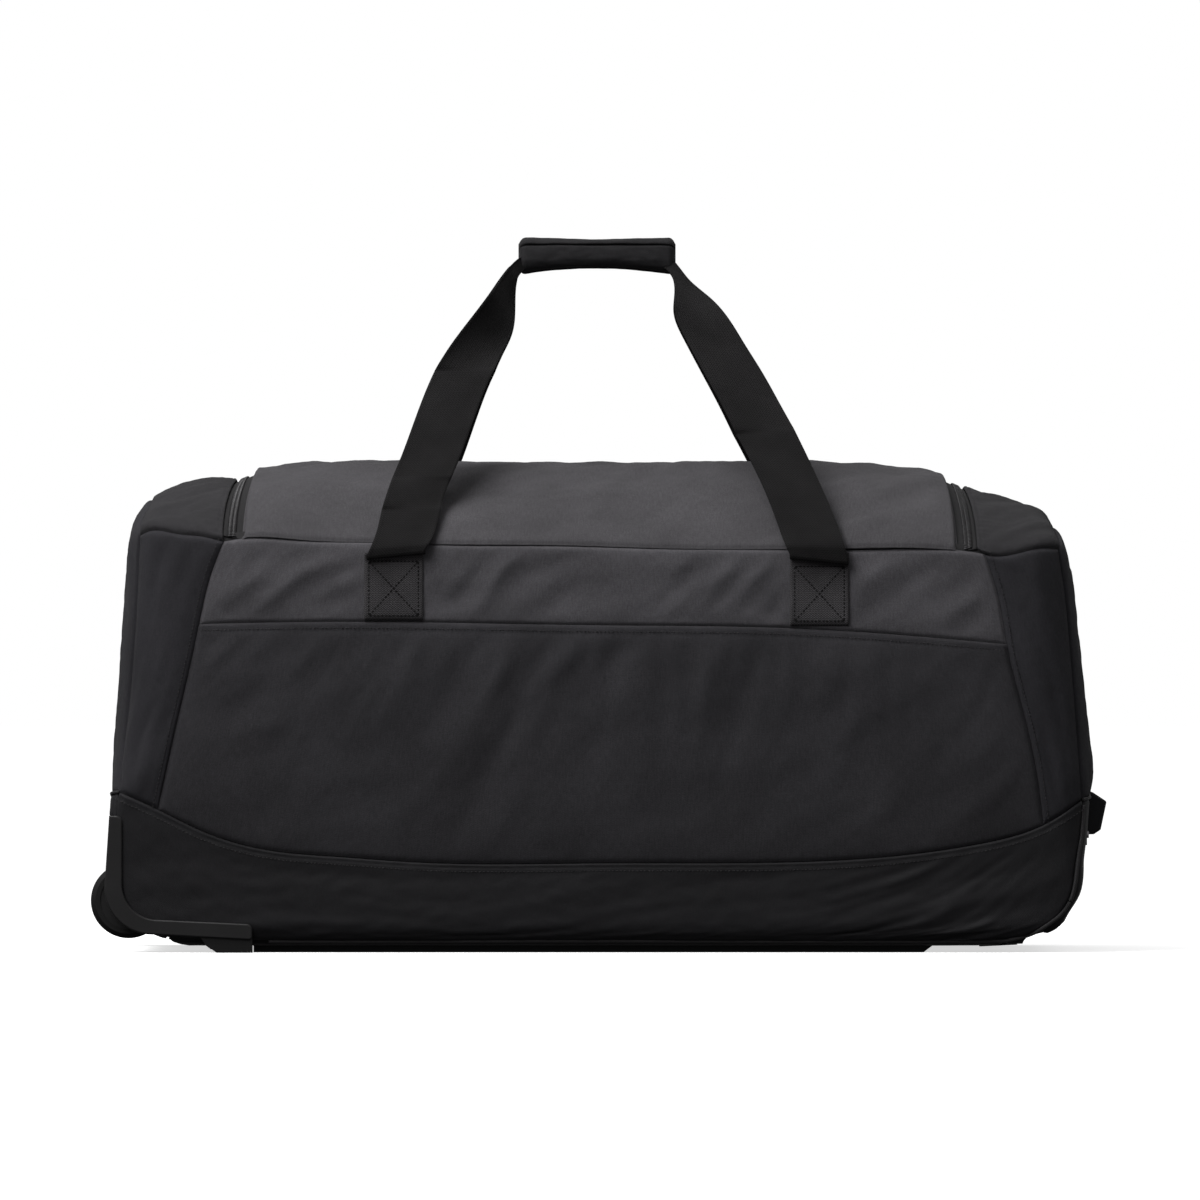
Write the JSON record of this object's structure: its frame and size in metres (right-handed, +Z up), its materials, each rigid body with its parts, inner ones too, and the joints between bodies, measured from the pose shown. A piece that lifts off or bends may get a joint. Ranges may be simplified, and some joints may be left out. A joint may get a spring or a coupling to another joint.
{
  "type": "rolling duffel bag",
  "caption": "Wheeled duffel bag with a U-shaped zip lid, two webbing carry handles joined by a padded grip, a telescopic trolley handle at one end and wheels at the other.",
  "frame": {"origin": "on the ground under the middle of the bag", "axes": "+X along the bag towards the trolley handle, +Y across the bag, +Z up"},
  "size_m": [0.8618, 0.3948, 0.6082],
  "materials": {
    "shell_fabric": "matte plain weave",
    "boot_fabric": "coated weave, slight sheen",
    "piping": "matte",
    "zip_tape": "matte",
    "zip_chain": "satin coil",
    "zip_metal": "dark satin",
    "board_plastic": "matte",
    "floor_fabric": "matte",
    "webbing": "ribbed webbing",
    "grip_fabric": "padded weave",
    "moulded_plastic": "fine grain",
    "tyre_rubber": "matte",
    "hub_plastic": "satin",
    "steel": "satin",
    "tube_aluminium": "anodised satin",
    "grip_plastic": "soft matte",
    "button_plastic": "satin"
  },
  "bodies": {
    "bag": {"bezel_screws": "steel", "boot_bottom": "boot_fabric", "boot_piping": "piping", "bottom_board": "board_plastic", "divider_floor": "floor_fabric", "far_boot_side": "boot_fabric", "far_corner_guard": "moulded_plastic", "far_pocket_panel": "shell_fabric", "far_side_panel": "shell_fabric", "far_strap_patches": "webbing", "far_top_panel": "shell_fabric", "far_wheel_housing": "moulded_plastic", "left_boot_end": "boot_fabric", "left_end_panel": "shell_fabric", "left_gussets": "shell_fabric", "left_shoulder_panel": "shell_fabric", "near_boot_side": "boot_fabric", "near_corner_guard": "moulded_plastic", "near_pocket_panel": "shell_fabric", "near_side_panel": "shell_fabric", "near_strap_patches": "webbing", "near_wheel_housing": "moulded_plastic", "outer_tubes": "tube_aluminium", "right_boot_end": "boot_fabric", "right_end_panel": "shell_fabric", "right_gussets": "shell_fabric", "right_shoulder_panel": "shell_fabric", "skid_rails": "moulded_plastic", "skid_rivets": "steel", "trolley_bezel": "moulded_plastic", "tube_brackets": "moulded_plastic", "wheel_axles": "steel", "zip_chain_body": "zip_chain", "zip_tape_body": "zip_tape"},
    "near_wheel": {"near_tyre": "tyre_rubber", "near_wheel_hub": "hub_plastic", "near_bearings": "steel"},
    "far_wheel": {"far_tyre": "tyre_rubber", "far_wheel_hub": "hub_plastic", "far_bearings": "steel"},
    "trolley_middle": {"middle_tubes": "tube_aluminium", "middle_tube_glides": "moulded_plastic"},
    "trolley_inner": {"inner_tubes": "tube_aluminium", "inner_tube_glides": "moulded_plastic", "grip_lower_shell": "grip_plastic", "grip_upper_shell": "grip_plastic", "button_spring": "steel"},
    "trolley_button": {"grip_button": "button_plastic"},
    "lid": {"lid_panel": "shell_fabric", "zip_chain_lid": "zip_chain"},
    "slider_left": {"zip_slider_left": "zip_metal"},
    "slider_right": {"zip_slider_right": "zip_metal"},
    "tab_left": {"pull_tab_left": "zip_metal"},
    "tab_right": {"pull_tab_right": "zip_metal"},
    "near_handle": {"near_handle_strap": "webbing", "grip_wrap_near": "grip_fabric"},
    "far_handle": {"far_handle_strap": "webbing", "grip_wrap_far": "grip_fabric"}
  },
  "joints": [
    {"name": "near_wheel_spin", "type": "hinge", "parent": "bag", "child": "near_wheel", "pos_m": [-0.399, -0.164, 0.044], "axis": [0, 1, 0], "continuous": true},
    {"name": "far_wheel_spin", "type": "hinge", "parent": "bag", "child": "far_wheel", "pos_m": [-0.399, 0.164, 0.044], "axis": [0, 1, 0], "continuous": true},
    {"name": "trolley_stage_1", "type": "slide", "parent": "bag", "child": "trolley_middle", "axis": [1, 0, 0], "range_m": [0, 0.17]},
    {"name": "trolley_stage_2", "type": "slide", "parent": "trolley_middle", "child": "trolley_inner", "axis": [1, 0, 0], "range_m": [0, 0.17]},
    {"name": "grip_button_press", "type": "slide", "parent": "trolley_inner", "child": "trolley_button", "axis": [-1, 0, 0], "range_m": [0, 0.004], "stiffness_N_per_m": 900, "springref_m": -0.002, "deforming": ["button_spring"]},
    {"name": "lid_open", "type": "hinge", "parent": "bag", "child": "lid", "pos_m": [0, -0.19, 0.345], "axis": [1, 0, 0], "range_deg": [0, 105]},
    {"name": "near_handle_swing", "type": "hinge", "parent": "bag", "child": "near_handle", "pos_m": [0.006, -0.195, 0.343], "axis": [1, 0, 0], "range_deg": [0, 199.5]},
    {"name": "far_handle_swing", "type": "hinge", "parent": "bag", "child": "far_handle", "pos_m": [0.006, 0.195, 0.343], "axis": [1, 0, 0], "range_deg": [-199.5, 0]},
    {"name": "left_slider_run", "type": "slide", "parent": "lid", "child": "slider_left", "axis": [-1, 0, 0], "range_m": [0, 0.18]},
    {"name": "right_slider_run", "type": "slide", "parent": "lid", "child": "slider_right", "axis": [1, 0, 0], "range_m": [0, 0.18]},
    {"name": "left_tab_swing", "type": "hinge", "parent": "slider_left", "child": "tab_left", "pos_m": [-0.04, 0.11823, 0.38867], "axis": [0, 0.9458, -0.3247], "range_deg": [0, 150]},
    {"name": "right_tab_swing", "type": "hinge", "parent": "slider_right", "child": "tab_right", "pos_m": [0.04, 0.11823, 0.38867], "axis": [0, -0.9458, 0.3247], "range_deg": [0, 150]}
  ],
  "couplings": [
    {"joint": "near_handle_swing", "follows": "lid_open", "ratio": 1.9},
    {"joint": "far_handle_swing", "follows": "lid_open", "ratio": -1.9}
  ]
}
